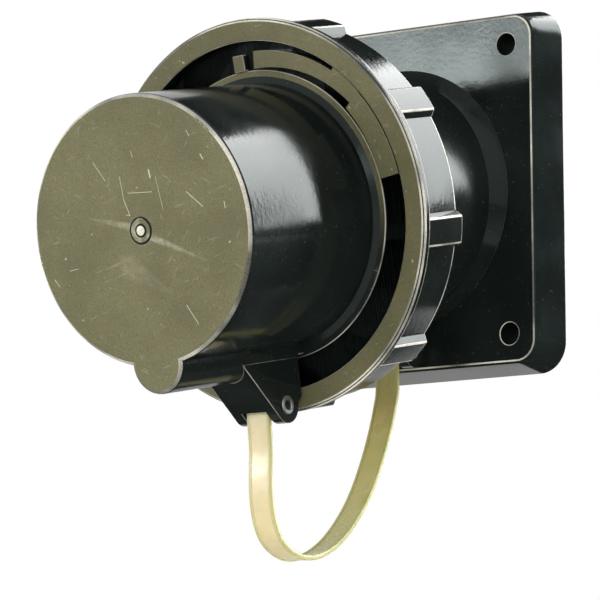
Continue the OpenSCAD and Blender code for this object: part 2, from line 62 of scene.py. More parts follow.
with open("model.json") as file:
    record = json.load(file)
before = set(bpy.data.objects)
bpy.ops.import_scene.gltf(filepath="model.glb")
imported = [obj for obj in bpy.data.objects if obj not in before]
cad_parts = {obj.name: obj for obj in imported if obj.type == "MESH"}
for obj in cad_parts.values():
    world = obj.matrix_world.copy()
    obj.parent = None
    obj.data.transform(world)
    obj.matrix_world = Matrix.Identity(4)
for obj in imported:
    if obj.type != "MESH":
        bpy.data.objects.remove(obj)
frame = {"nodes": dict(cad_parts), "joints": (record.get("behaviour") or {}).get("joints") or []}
CAD_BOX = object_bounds()

MM = 0.001

# Finishes of a moulding's faces, in the order of its materials. EDGE takes the painted highlight along rounded edges;
# DULL is on the ring and cap a lighter olive, partly a textured finish and partly painted light from the front, and
# on the housing the screw holes' dull walls
SMOOTH, EDGE, DULL = range(3)

# Angles from which an outer and an inner corner are shaded crisp
SHARP_OUTER = math.radians(50)
SHARP_INNER = math.radians(20)

# How near the cap's seam an edge lies, and how far the seam reaches from the axis
SEAM_NEAR = 0.00003
SEAM_REACH = 0.0412

# The plug frame: z along the sloping axis, from the middle of the flange's face
RING_JOINT = next(j for j in frame["joints"] if j["name"] == "ring_turn")
FLANGE_DEPTH = -RING_JOINT["pos_m"][1]
SLOPE = math.atan2(RING_JOINT["axis"][2], RING_JOINT["axis"][1])
PLUG_TURN = math.pi / 2 + SLOPE
PLUG = Matrix.Translation((0, -FLANGE_DEPTH, 0)) @ Matrix.Rotation(PLUG_TURN, 4, "X")
AXIS_OUT = PLUG.to_3x3() @ Vector((0, 0, 1))

# Route of the strap between its two eyes, as (distance along the axis, height) in millimetres
CAP_EYE = (76.8, -53.7)
NECK_EYE = (13, -44.5)
STRAP_ROUTE = [(81, -65), (82.2, -71), (83.3, -77), (83.5, -83), (82.6, -88), (80.6, -91.8), (77, -95),
               (72, -97.4), (66.5, -98.2), (60.5, -97.6), (54, -95.6), (47.5, -92.2), (41, -87.6),
               (35, -82), (30, -76), (26, -70.6), (22.4, -65), (19.4, -59.6), (17.2, -54.6)]

# Web across the front of the tab's slot, ahead of the strap's eye, in the same terms
TAB_WEB = [(82, -48.6), (88.34, -48.6), (82.67, -54.9), (82, -54.9)]

# Scratches on the cap's disc, as (x, y, x, y, width) in millimetres from its middle, right and up
SCRATCHES = [(-5.4, 15.5, -4.8, 9, 0.12), (-4.8, 9, -3.2, 4.4, 0.16), (-3.2, 4.4, -4.6, 4.8, 0.12),
             (-3.1, 10.7, 5.3, 10.3, 0.12), (-14.2, 20.2, -10.6, 14.8, 0.12), (17.4, 9.2, 22.3, 4.8, 0.18),
             (5, 16.4, 5.3, 14.3, 0.36), (23.5, 19, 24.2, 17.7, 0.26), (19.6, 26, 20.4, 24.3, 0.14),
             (-0.5, 22.2, -0.1, 20.4, 0.12), (7.1, 14.3, 8.6, 5, 0.09), (29.9, 5.4, 30, 3.8, 0.2),
             (-32.5, -11.1, -31, -13.1, 0.16), (-26.7, -9, -23.7, -8.7, 0.12), (13, -21.7, 16.3, -27, 0.16)]

# Pale smears on and beside the moulding mark, the last of them a pale patch on the mark that is partly painted
# highlight, in the same terms with their strength, that narrow to their end
SMEARS_AND_MARK_HIGHLIGHT = [(2.9, -1.9, 21.6, -10, 1.5, 0.8), (-4.2, 1.5, -18, 5, 1.5, 0.6), (-5.8, -9.5, 8.2, -18.1, 4.5, 0.25),
          (-0.1, 0, 0.1, 0, 4.8, 1.0)]


class InletView(bpy.types.PropertyGroup):
    """The camera that looks at the inlet."""

    azimuth: FloatProperty(
        name="Azimuth", description="Turn of the view to the right of the flange's normal",
        default=math.radians(37.075), subtype="ANGLE")
    elevation: FloatProperty(
        name="Elevation", description="Height of the view above the horizon",
        default=math.radians(-6.853), subtype="ANGLE")
    roll: FloatProperty(
        name="Roll", description="Turn of the picture about the line of sight",
        default=math.radians(-0.4615), subtype="ANGLE")
    distance: FloatProperty(
        name="Distance", description="From the flange's face to the camera",
        default=1.5, unit="LENGTH")
    lens: FloatProperty(
        name="Lens", description="Focal length for a 36 mm sensor", default=304.6, unit="CAMERA")
    offset: FloatVectorProperty(
        name="Offset", description="Place of the flange's middle, right of and above the picture's middle",
        default=(0.0297, 0.02948), size=2, unit="LENGTH")


class InletSizes(bpy.types.PropertyGroup):
    """Sizes of what is added to the solids."""

    edge: FloatProperty(
        name="Edge", description="Rounding of the moulded edges", default=0.0004, unit="LENGTH")
    fine_edge: FloatProperty(
        name="Fine edge", description="Rounding of turned and small pieces", default=0.0002, unit="LENGTH")
    strap_width: FloatProperty(
        name="Strap width", description="Width of the strap", default=0.008, unit="LENGTH")
    strap_thickness: FloatProperty(
        name="Strap thickness", description="Thickness of the strap at its rails",
        default=0.0015, unit="LENGTH")
    strap_web: FloatProperty(
        name="Strap web", description="Thickness of the strap between its rails",
        default=0.0011, unit="LENGTH")
    strap_rail: FloatProperty(
        name="Strap rail", description="Width of the strap's rails", default=0.001, unit="LENGTH")
    cap_eye_radius: FloatProperty(
        name="Cap eye", description="Middle radius of the strap round the cap's pin",
        default=0.0034, unit="LENGTH")
    neck_eye_radius: FloatProperty(
        name="Neck eye", description="Middle radius of the strap round the neck's pin",
        default=0.0028, unit="LENGTH")
    screw_across: FloatProperty(
        name="Screws across", description="Distance of the flange's screw holes across",
        default=0.077, unit="LENGTH")
    screw_up: FloatProperty(
        name="Screws up", description="Distance of the flange's screw holes upwards",
        default=0.085, unit="LENGTH")
    screw_reach: FloatProperty(
        name="Screw bore", description="Radius within which a screw hole's wall is dull",
        default=0.0045, unit="LENGTH")
    disc_station: FloatProperty(
        name="Disc", description="Station of the cap's front disc along the axis",
        default=0.1241, unit="LENGTH")
    ring_station: FloatProperty(
        name="Ring front", description="Station of the ring's front face along the axis",
        default=0.0685, unit="LENGTH")
    web_width: FloatProperty(
        name="Tab web", description="Width of the web that closes the front of the tab's slot",
        default=0.0096, unit="LENGTH")
    seam_station: FloatProperty(
        name="Cap seam", description="Station where the cap's front meets its skirt",
        default=0.0696, unit="LENGTH")
    mark_radius: FloatProperty(
        name="Moulding mark", description="Radius of the moulding mark in the disc's middle",
        default=0.0039, unit="LENGTH")
    mark_height: FloatProperty(
        name="Mark height", description="Height of the moulding mark's ridge",
        default=0.00025, unit="LENGTH")
    spin_steps: IntProperty(
        name="Spin steps", description="Steps of a full turn", default=48)


class InletColours(bpy.types.PropertyGroup):
    """Colours of the finishes."""

    plastic: FloatVectorProperty(
        name="Gloss plastic", description="Smooth moulded plastic",
        default=(0.007, 0.0098, 0.0092), subtype="COLOR")
    # Olive of the ring's and cap's front faces: partly a textured finish, partly painted light from the front that
    # makes them lighter than the black plastic
    dull: FloatVectorProperty(
        name="Dull plastic", description="Textured front faces",
        default=(0.143, 0.135, 0.07), subtype="COLOR")
    # Pale colour of the scratches and smears, also used for the painted highlight on the moulding mark
    scratch_and_highlight: FloatVectorProperty(
        name="Scratches", description="Scratches and scuffs on the dull faces",
        default=(0.55, 0.52, 0.4), subtype="COLOR")
    strap: FloatVectorProperty(
        name="Strap", description="Translucent strap", default=(0.55, 0.5, 0.33), subtype="COLOR")
    # Colour towards the neck, where the strap is darker and yellower
    strap_neckward: FloatVectorProperty(
        name="Aged strap", description="Yellowed stretches of the strap",
        default=(0.28, 0.31, 0.1), subtype="COLOR")
    rubber: FloatVectorProperty(
        name="Rubber", description="Seals and gasket", default=(0.012, 0.012, 0.012), subtype="COLOR")
    carrier: FloatVectorProperty(
        name="Carrier", description="Contact carrier", default=(0.05, 0.05, 0.045), subtype="COLOR")
    nickel: FloatVectorProperty(
        name="Nickel", description="Plated contacts", default=(0.72, 0.69, 0.6), subtype="COLOR")
    steel: FloatVectorProperty(
        name="Steel", description="Screws, pins and the snap ring",
        default=(0.55, 0.56, 0.57), subtype="COLOR")
    oxide: FloatVectorProperty(
        name="Black oxide", description="Blackened snap ring", default=(0.03, 0.03, 0.032), subtype="COLOR")
    # Pale colour painted on the rounded edges as a painted highlight
    wear_and_sheen: FloatVectorProperty(
        name="Worn edges", description="Edges that are rubbed pale", default=(0.72, 0.69, 0.58), subtype="COLOR")
    floor: FloatVectorProperty(
        name="Floor", description="Pale floor", default=(0.82, 0.82, 0.8), subtype="COLOR")


class Finish:
    """One procedural material, with short forms for its nodes."""

    def __init__(self, name):
        self.material = bpy.data.materials.new(name)
        self.material.use_nodes = True
        self.tree = self.material.node_tree
        self.shader = self.tree.nodes["Principled BSDF"]

    def add(self, kind, inputs=None, **settings):
        node = self.tree.nodes.new(kind)
        for key, value in settings.items():
            setattr(node, key, value)
        for key, value in (inputs or {}).items():
            self.feed(node.inputs[key], value)
        return node

    def feed(self, socket, value):
        if isinstance(value, bpy.types.NodeSocket):
            self.tree.links.new(value, socket)
        else:
            socket.default_value = value

    def set(self, **values):
        """Sets the shader's sockets, named in lower case with underscores."""
        for key, value in values.items():
            wanted = key.replace("_", " ").lower()
            socket = next(s for s in self.shader.inputs if s.name.lower() == wanted)
            self.feed(socket, value)

    def place(self):
        return self.add("ShaderNodeTexCoord").outputs["Object"]

    def plug_place(self):
        """Object coordinates turned into the plug frame."""
        mapping = self.add("ShaderNodeMapping", {"Vector": self.place()}, vector_type="TEXTURE")
        mapping.inputs["Location"].default_value = (0, -FLANGE_DEPTH, 0)
        mapping.inputs["Rotation"].default_value = (PLUG_TURN, 0, 0)
        return mapping.outputs["Vector"]

    def noise(self, place, scale, detail=3.0, roughness=0.5):
        node = self.add("ShaderNodeTexNoise",
                        {"Vector": place, "Scale": scale, "Detail": detail, "Roughness": roughness})
        return node.outputs["Fac"]

    def spread(self, value, low, high, to_low=0.0, to_high=1.0):
        """Maps a value's range smoothly onto another."""
        node = self.add("ShaderNodeMapRange",
                        {"Value": value, "From Min": low, "From Max": high,
                         "To Min": to_low, "To Max": to_high}, interpolation_type="SMOOTHSTEP")
        return node.outputs["Result"]

    def math(self, operation, first, second):
        return self.add("ShaderNodeMath", {0: first, 1: second}, operation=operation).outputs[0]

    def vector(self, operation, first, second, result="Vector"):
        node = self.add("ShaderNodeVectorMath", {0: first, 1: second}, operation=operation)
        return node.outputs[result]

    def mix(self, share, first, second):
        node = self.add("ShaderNodeMix", data_type="RGBA")
        self.feed(node.inputs["Factor"], share)
        self.feed(node.inputs[6], first)
        self.feed(node.inputs[7], second)
        return node.outputs[2]

    def bump(self, height, strength, distance):
        node = self.add("ShaderNodeBump",
                        {"Height": height, "Strength": strength, "Distance": distance})
        self.feed(self.shader.inputs["Normal"], node.outputs["Normal"])

    def mark(self, place, line, taper=0.0):
        """How near a place is to a short line: 1 on it, 0 beyond its width, which may narrow to the end."""
        x0, y0, x1, y1, width = (value * MM for value in line)
        along = Vector((x1 - x0, y1 - y0, 0))
        from_start = self.vector("SUBTRACT", place, (x0, y0, 0))
        share = self.vector("DOT_PRODUCT", from_start, tuple(along / along.length_squared), "Value")
        share = self.add("ShaderNodeClamp", {"Value": share}).outputs["Result"]
        nearest = self.add("ShaderNodeVectorMath", {0: tuple(along), "Scale": share}, operation="SCALE")
        apart = self.vector("SUBTRACT", from_start, nearest.outputs["Vector"])
        length = self.add("ShaderNodeVectorMath", {0: apart}, operation="LENGTH").outputs["Value"]
        left = self.math("SUBTRACT", 1.0, self.math("MULTIPLY", share, taper))
        near = self.spread(self.math("DIVIDE", length, left), width, width * 0.3)
        return self.math("MULTIPLY", near, left)


    def hairlines(self, place):
        """Faint fine scratches that run several ways."""
        lines = 0.0
        for turn in (0.5, 1.4, 2.3, 2.9):
            mapping = self.add("ShaderNodeMapping", {"Vector": place}, vector_type="TEXTURE")
            mapping.inputs["Rotation"].default_value = (0.0, turn, 0.0)
            mapping.inputs["Scale"].default_value = (1, 1 / 16, 1 / 16)
            streak = self.spread(self.noise(mapping.outputs["Vector"], 95, 1), 0.72, 0.79, 0.0, 0.22)
            lines = self.math("MAXIMUM", lines, streak)
        return lines


def opaque(colour):
    return (*colour, 1.0)


def shade(colour, share):
    return (*(value * share for value in colour), 1.0)


def gloss_plastic(colours):
    """Smooth near-black plastic with faint flow marks, dust and fine orange peel."""
    finish = Finish("gloss_plastic")
    place = finish.place()
    flow = finish.noise(place, 45, 4)
    dust = finish.spread(finish.noise(place, 1400, 2), 0.69, 0.75)
    tone = finish.mix(finish.spread(flow, 0.35, 0.65), opaque(colours.plastic), shade(colours.plastic, 1.5))
    finish.set(base_color=finish.mix(dust, tone, shade(colours.dull, 0.5)),
               roughness=finish.spread(flow, 0.3, 0.7, 0.1, 0.19),
               specular_ior_level=0.2,
               specular_tint=(0.86, 1.0, 0.97, 1.0))
    finish.bump(finish.noise(place, 700, 2), 0.05, 0.0004)
    return finish.material


def dull_plastic(colours, marked):
    """Textured olive faces with grain and pale specks, whose lighter olive is partly painted light from the front,
    and, where marked, with the disc's scratches and smears, a painted highlight on the moulding mark and painted
    shade low down behind the disc.
    """
    finish = Finish("lit_dull_disc" if marked else "dull_plastic")
    place = finish.place()
    cloud = finish.noise(place, 60, 4)
    grain = finish.noise(place, 2600, 3, 0.6)
    specks = finish.spread(finish.noise(place, 640, 1), 0.76, 0.79, 0.0, 0.6)
    tone = finish.mix(finish.spread(cloud, 0.3, 0.7), shade(colours.dull, 0.88), shade(colours.dull, 1.12))
    tone = finish.mix(finish.spread(grain, 0.4, 0.7, 0.0, 0.6), tone, shade(colours.dull, 0.55))
    wear_and_sheen = finish.math("MAXIMUM", specks, finish.hairlines(place))
    if marked:
        disc = finish.plug_place()
        flat = finish.vector("MULTIPLY", disc, (1, 1, 0))
        parts = finish.add("ShaderNodeSeparateXYZ", {"Vector": disc}).outputs
        # Painted shade: front faces behind the disc and low down, under the nose, are darkened towards the black
        # plastic
        painted_shade_low = finish.math("MULTIPLY", finish.spread(parts["Z"], 0.1, 0.09),
                             finish.spread(parts["Y"], 0.012, -0.016))
        tone = finish.mix(painted_shade_low, tone, shade(colours.plastic, 1.5))
        # Pale smears, and on the moulding mark a pale patch that is partly painted highlight
        smears_and_highlight = 0.0
        for *line, strength in SMEARS_AND_MARK_HIGHLIGHT:
            pale_patch = finish.math("MULTIPLY", finish.mark(flat, line, 0.8), strength)
            smears_and_highlight = finish.math("MAXIMUM", smears_and_highlight, pale_patch)
        streaks = finish.spread(finish.noise(place, 400, 3), 0.3, 0.65, 0.25, 1.0)
        tone = finish.mix(finish.math("MULTIPLY", smears_and_highlight, finish.math("MULTIPLY", streaks, 0.6)),
                          tone, opaque(colours.scratch_and_highlight))
        for line in SCRATCHES:
            wear_and_sheen = finish.math("MAXIMUM", wear_and_sheen, finish.mark(flat, line))
    finish.set(base_color=finish.mix(finish.math("MULTIPLY", wear_and_sheen, 0.8), tone, opaque(colours.scratch_and_highlight)),
               roughness=finish.spread(grain, 0.3, 0.7, 0.5, 0.68),
               specular_ior_level=0.15)
    height = finish.math("SUBTRACT", finish.math("MULTIPLY", grain, 0.5), wear_and_sheen)
    finish.bump(height, 0.3, 0.0002)
    return finish.material


def edge_highlight(colours):
    """Rounded edges of the mouldings, painted pale in stretches as a painted highlight."""
    finish = Finish("edge_highlight")
    place = finish.place()
    highlit = finish.spread(finish.noise(place, 38, 3), 0.33, 0.6, 0.12, 0.95)
    grain = finish.spread(finish.noise(place, 1500, 2), 0.3, 0.7, 0.8, 1.0)
    share = finish.math("MULTIPLY", highlit, grain)
    finish.set(base_color=finish.mix(share, opaque(colours.plastic), opaque(colours.wear_and_sheen)),
               roughness=finish.spread(grain, 0.8, 1.0, 0.25, 0.4),
               specular_ior_level=0.3)
    return finish.material


def strap_plastic(colours):
    """Translucent strap, yellower and darker near the neck and in its rails."""
    finish = Finish("strap_plastic")
    place = finish.plug_place()
    parts = finish.add("ShaderNodeSeparateXYZ", {"Vector": place})
    # Darker and yellower towards the neck, from 83 mm to 52 mm along the axis
    neckward = finish.spread(parts.outputs["Z"], 0.083, 0.052)
    rail = finish.spread(finish.math("ABSOLUTE", parts.outputs["X"], 0.0), 0.0026, 0.0034)
    cloud = finish.noise(place, 130, 4)
    share = finish.math("MAXIMUM", finish.math("MULTIPLY", neckward, 0.75), finish.math("MULTIPLY", rail, 0.45))
    share = finish.math("ADD", share, finish.spread(cloud, 0.4, 0.8, 0.0, 0.22))
    finish.set(base_color=finish.mix(share, opaque(colours.strap), opaque(colours.strap_neckward)),
               roughness=finish.spread(cloud, 0.3, 0.7, 0.25, 0.4),
               subsurface_weight=0.55,
               subsurface_radius=(0.004, 0.003, 0.0012),
               subsurface_scale=1.0)
    finish.bump(finish.noise(place, 420, 3), 0.12, 0.0004)
    return finish.material


def metal(name, colour, roughness, turned_along_plug):
    """Turned or drawn metal with fine tool lines and a little tarnish."""
    finish = Finish(name)
    place = finish.plug_place()
    squeeze = (1, 1, 14) if turned_along_plug else (14, 1, 1)
    lines = finish.noise(finish.vector("MULTIPLY", place, squeeze), 900, 3)
    tarnish = finish.spread(finish.noise(place, 240, 4), 0.45, 0.75, 0.0, 0.5)
    finish.set(base_color=finish.mix(tarnish, opaque(colour), shade(colour, 0.6)),
               metallic=1.0,
               roughness=finish.spread(lines, 0.3, 0.7, roughness, roughness + 0.16))
    finish.bump(lines, 0.08, 0.0002)
    return finish.material


def rubber(colours):
    """Dull black rubber with a fine skin."""
    finish = Finish("rubber")
    place = finish.place()
    skin = finish.noise(place, 1200, 3)
    finish.set(base_color=finish.mix(skin, opaque(colours.rubber), shade(colours.rubber, 2.0)),
               roughness=finish.spread(skin, 0.3, 0.7, 0.6, 0.8),
               specular_ior_level=0.15)
    finish.bump(skin, 0.15, 0.0003)
    return finish.material


def bore_plastic(colours):
    """Dark unpolished walls of the screw holes."""
    finish = Finish("bore_plastic")
    grain = finish.noise(finish.place(), 900, 3)
    finish.set(base_color=finish.mix(grain, shade(colours.plastic, 0.4), opaque(colours.plastic)),
               roughness=finish.spread(grain, 0.3, 0.7, 0.7, 0.9),
               specular_ior_level=0.0)
    return finish.material


def carrier_plastic(colours):
    """Dull dark plastic of the contact carrier."""
    finish = Finish("carrier_plastic")
    place = finish.place()
    grain = finish.noise(place, 800, 4)
    finish.set(base_color=finish.mix(grain, shade(colours.carrier, 0.7), shade(colours.carrier, 1.3)),
               roughness=finish.spread(grain, 0.3, 0.7, 0.4, 0.55))
    finish.bump(grain, 0.1, 0.0003)
    return finish.material


def link(name, mesh, materials):
    """A new object at the origin that holds the mesh."""
    piece = bpy.data.objects.new(name, mesh)
    bpy.context.scene.collection.objects.link(piece)
    for material in materials:
        mesh.materials.append(material)
    return piece


def finish_mesh(bm, name, materials):
    """Turns a bmesh into a smooth-shaded piece with crisp corners, whose flat faces stay flat."""
    mesh = bpy.data.meshes.new(name)
    for face in bm.faces:
        face.smooth = True
    for edge in bm.edges:
        edge.smooth = edge.calc_face_angle(0) < (SHARP_OUTER if edge.is_convex else SHARP_INNER)
    bm.to_mesh(mesh)
    bm.free()
    piece = link(name, mesh, materials)
    normals = piece.modifiers.new("flat_faces", "WEIGHTED_NORMAL")
    normals.keep_sharp = True
    return piece


def on_seam(edge, station):
    """Whether an edge lies where the cap's moulding goes on in its other node."""
    ends = [PLUG.inverted() @ vert.co for vert in edge.verts]
    return all(abs(end.z - station) < SEAM_NEAR and end.xy.length < SEAM_REACH for end in ends)


def eased_copy(node, width, seam=None):
    """A welded copy of a solid as a bmesh, with its sharp outer edges rounded and marked as edges, the finish that is
    a painted highlight on the housing, ring and cap.
    """
    bm = bmesh.new()
    bm.from_mesh(frame["nodes"][node].data)
    bmesh.ops.remove_doubles(bm, verts=bm.verts, dist=2e-6)
    bmesh.ops.dissolve_limit(bm, angle_limit=math.radians(0.6), verts=bm.verts, edges=bm.edges)
    sharp = [e for e in bm.edges
             if e.is_manifold and e.is_convex and e.calc_face_angle(0) > math.radians(38)
             and not (seam and on_seam(e, seam))]
    made = bmesh.ops.bevel(bm, geom=sharp, offset=width, offset_type="OFFSET", segments=3,
                           profile=0.5, affect="EDGES", clamp_overlap=True, material=-1)
    # The rounding faces take the edge finish, a painted highlight on the housing, ring and cap
    for face in made["faces"]:
        face.material_index = EDGE
    return bm


def eased_moulding(nodes, width, seam=None):
    """One bmesh of a moulding that the solids hold in several touching nodes."""
    whole = bmesh.new()
    for node in nodes:
        part = eased_copy(node, width, seam)
        mesh = bpy.data.meshes.new(node)
        part.to_mesh(mesh)
        part.free()
        whole.from_mesh(mesh)
        bpy.data.meshes.remove(mesh)
    return whole


def face_station(face):
    """A face's place along the plug axis, and how far it faces out along it."""
    return (PLUG.inverted() @ face.calc_center_median()).z, face.normal.dot(AXIS_OUT)


def settle(piece, body, slot, *nodes):
    """Puts a finished piece on its body, in place of its solids."""
    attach(piece, body)
    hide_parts(*nodes)


def dress(node, material):
    """Gives a solid that stays its finish."""
    solid = frame["nodes"][node]
    solid.data.materials.clear()
    solid.data.materials.append(material)


def plug_point(z, y, x=0.0):
    """A point of the plug frame, in millimetres, in the row frame."""
    return PLUG @ Vector((x * MM, y * MM, z * MM))


def arc(centre, radius, start, end, steps):
    """Points on an arc about an eye, as (distance, height) in millimetres."""
    for i in range(steps + 1):
        angle = math.radians(start + (end - start) * i / steps)
        yield (centre[0] + radius * math.cos(angle), centre[1] + radius * math.sin(angle))


def smooth_line(points, steps):
    """A smooth curve through the points, with a few steps between each two."""
    line = []
    for i in range(len(points) - 1):
        a, b = Vector(points[i]), Vector(points[i + 1])
        before = Vector(points[max(i - 1, 0)])
        after = Vector(points[min(i + 2, len(points) - 1)])
        for k in range(steps):
            t = k / steps
            pull_a, pull_b = (b - before) / 2, (after - a) / 2
            line.append(a * (2 * t**3 - 3 * t**2 + 1) + pull_a * (t**3 - 2 * t**2 + t)
                        + b * (3 * t**2 - 2 * t**3) + pull_b * (t**3 - t**2))
    return line + [Vector(points[-1])]


class INLET_OT_camera(bpy.types.Operator):
    """Place the camera at the photograph's viewing angle"""

    bl_idname = "inlet.camera"
    bl_label = "Place Camera"

    def execute(self, context):
        view = context.scene.inlet_view
        level = math.cos(view.elevation)
        back = Vector((math.sin(view.azimuth) * level, -math.cos(view.azimuth) * level,
                       math.sin(view.elevation)))
        right = Vector((math.cos(view.azimuth), math.sin(view.azimuth), 0))
        up = back.cross(right)
        turn = Matrix.Rotation(view.roll, 3, back)
        right, up = turn @ right, turn @ up
        data = bpy.data.cameras.new("camera")
        data.lens = view.lens
        data.sensor_width = 36
        data.clip_start = 0.05
        data.clip_end = 50
        camera = bpy.data.objects.new("camera", data)
        camera.matrix_world = Matrix((right, up, back)).transposed().to_4x4()
        aim = Vector((0, -FLANGE_DEPTH, 0)) - right * view.offset[0] - up * view.offset[1]
        camera.location = aim + back * view.distance
        context.scene.collection.objects.link(camera)
        context.scene.camera = camera
        return {"FINISHED"}


class INLET_OT_strap(bpy.types.Operator):
    """Sweep the railed strap round its two eyes and along its hanging loop"""

    bl_idname = "inlet.strap"
    bl_label = "Build Strap"

    def execute(self, context):
        sizes = context.scene.inlet_sizes
        points = list(arc(CAP_EYE, sizes.cap_eye_radius / MM, 310, 0, 14))
        points += STRAP_ROUTE
        points += list(arc(NECK_EYE, sizes.neck_eye_radius / MM, 0, 310, 14))
        path = smooth_line(points, 3)
        frames = []
        for i, (z, y) in enumerate(path):
            ahead = path[min(i + 1, len(path) - 1)] - path[max(i - 1, 0)]
            lean = math.atan2(ahead.y, ahead.x)
            frames.append(PLUG @ Matrix.Translation((0, y * MM, z * MM)) @ Matrix.Rotation(-lean, 4, "X"))
        bm = bmesh.new()
        face = bm.faces.new([bm.verts.new(frames[0] @ Vector((x, y, 0))) for x, y in self.section(sizes)])
        for last, new in zip(frames, frames[1:]):
            made = bmesh.ops.extrude_face_region(bm, geom=[face])["geom"]
            end = next(g for g in made if isinstance(g, bmesh.types.BMFace))
            bmesh.ops.transform(bm, matrix=new @ last.inverted(), verts=end.verts)
            if last is not frames[0]:
                bm.faces.remove(face)
            face = end
        bmesh.ops.recalc_face_normals(bm, faces=bm.faces)
        strap = finish_mesh(bm, "strap_band", [strap_plastic(context.scene.inlet_colours)])
        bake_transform(strap)
        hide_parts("strap")
        return {"FINISHED"}

    @staticmethod
    def section(sizes):
        """Outline of the strap across its width: a thin web between two rails."""
        half, rail = sizes.strap_width / 2, sizes.strap_width / 2 - sizes.strap_rail
        thick, web = sizes.strap_thickness / 2, sizes.strap_web / 2
        step, corner = 0.0002, 0.0003
        side = [(half, -thick + corner), (half, thick - corner), (half - corner, thick),
                (rail, thick), (rail - step, web)]
        lower = [(rail - step, -web), (rail, -thick), (half - corner, -thick)]
        right = lower + side
        return right + [(-x, -y) for x, y in right]


class INLET_OT_housing(bpy.types.Operator):
    """Finish the flange and its sloping neck"""

    bl_idname = "inlet.housing"
    bl_label = "Build Housing"

    def execute(self, context):
        sizes, colours = context.scene.inlet_sizes, context.scene.inlet_colours
        nodes = ("flange_housing", "housing_neck")
        bm = eased_moulding(nodes, sizes.edge)
        for face in bm.faces:
            centre = face.calc_center_median()
            across = Vector((abs(centre.x) - sizes.screw_across / 2, abs(centre.z) - sizes.screw_up / 2))
            if across.length < sizes.screw_reach and abs(face.normal.y) < 0.5:
                face.material_index = DULL
        housing = finish_mesh(bm, "housing", [gloss_plastic(colours), edge_highlight(colours), bore_plastic(colours)])
        settle(housing, "inlet", "black_plastic", *nodes)
        return {"FINISHED"}


class INLET_OT_ring(bpy.types.Operator):
    """Finish the coupling ring, glossy outside and dull in front, its front faces painted a lighter olive as painted
    light
    """

    bl_idname = "inlet.ring"
    bl_label = "Build Coupling Ring"

    def execute(self, context):
        sizes, colours = context.scene.inlet_sizes, context.scene.inlet_colours
        nodes = ("coupling_ring", "ring_claws")
        bm = eased_moulding(nodes, sizes.edge)
        for face in bm.faces:
            station, outward = face_station(face)
            # Front faces take the dull olive, partly a textured finish and partly painted light from the front
            if outward > 0.95 and station > sizes.ring_station - 0.003:
                face.material_index = DULL
        ring = finish_mesh(bm, "ring", [gloss_plastic(colours), edge_highlight(colours),
                                        dull_plastic(colours, False)])
        settle(ring, "ring", "ring_plastic", *nodes)
        return {"FINISHED"}


class INLET_OT_cap(bpy.types.Operator):
    """Finish the protective cap, its scratched disc and its moulding mark"""

    bl_idname = "inlet.cap"
    bl_label = "Build Cap"

    def execute(self, context):
        sizes, colours = context.scene.inlet_sizes, context.scene.inlet_colours
        nodes = ("cap", "cap_skirt", "cap_lugs", "cap_tab")
        bm = eased_moulding(nodes, sizes.edge, sizes.seam_station)
        for face in bm.faces:
            station, outward = face_station(face)
            # Front faces take the dull olive, partly a textured finish and partly painted light from the front; the
            # front rounding takes the painted edge highlight
            if outward > 0.95:
                face.material_index = DULL
            elif outward > 0.45 and station > sizes.disc_station - 0.002:
                face.material_index = EDGE
        self.tab_web(bm, sizes)
        self.moulding_mark(bm, sizes)
        cap = finish_mesh(bm, "protective_cap", [gloss_plastic(colours), edge_highlight(colours),
                                                 dull_plastic(colours, True)])
        settle(cap, "cap", "cap_plastic", *nodes)
        return {"FINISHED"}

    @staticmethod
    def tab_web(bm, sizes):
        """A wedge that closes the upper front of the tab's slot, down to the strap's window."""
        side = bm.faces.new([bm.verts.new(plug_point(z, y, -sizes.web_width / MM / 2)) for z, y in TAB_WEB])
        known = set(bm.faces) - {side}
        made = bmesh.ops.extrude_face_region(bm, geom=[side], use_keep_orig=True)["geom"]
        far = [g for g in made if isinstance(g, bmesh.types.BMVert)]
        bmesh.ops.translate(bm, verts=far, vec=(sizes.web_width, 0, 0))
        bmesh.ops.recalc_face_normals(bm, faces=[f for f in bm.faces if f not in known])

    @staticmethod
    def moulding_mark(bm, sizes):
        """A low ridge round a pip, spun about the axis on the disc, whose pip takes the painted edge highlight, whose
        grooves stay gloss black as painted shade, and whose plateau takes the dull olive that is partly painted
        light.
        """
        r, h = sizes.mark_radius, sizes.mark_height
        profile = [(0, h * 1.3), (r * 0.24, h * 1.2), (r * 0.35, h * 0.7), (r * 0.42, h * 0.1), (r * 0.5, h * 0.1),
                   (r * 0.58, h * 0.7), (r * 0.84, h * 0.7), (r * 0.93, h * 0.1), (r, h * 0.1), (r, -h), (0, -h)]
        verts = [bm.verts.new((x, 0, sizes.disc_station + z)) for x, z in profile]
        edges = [bm.edges.new(pair) for pair in zip(verts, verts[1:])]
        known = set(bm.faces)
        bmesh.ops.spin(bm, geom=verts + edges, cent=(0, 0, 0), axis=(0, 0, 1), angle=math.tau,
                       steps=sizes.spin_steps, use_merge=True)
        made = [f for f in bm.faces if f not in known]
        corners = list({v for f in made for v in f.verts})
        bmesh.ops.transform(bm, matrix=PLUG, verts=corners)
        bmesh.ops.remove_doubles(bm, verts=corners, dist=1e-6)
        made = [f for f in bm.faces if f not in known]
        bmesh.ops.recalc_face_normals(bm, faces=made)
        for face in made:
            reach = (PLUG.inverted() @ max(face.verts, key=lambda v: (PLUG.inverted() @ v.co).xy.length).co).xy.length
            # Grooves stay gloss black as painted shade in them; the pip takes the painted edge highlight, and the
            # plateau the dull olive
            grooved = r * 0.4 < reach < r * 0.55 or reach > r * 0.9
            face.material_index = SMOOTH if grooved else EDGE if reach < r * 0.4 else DULL


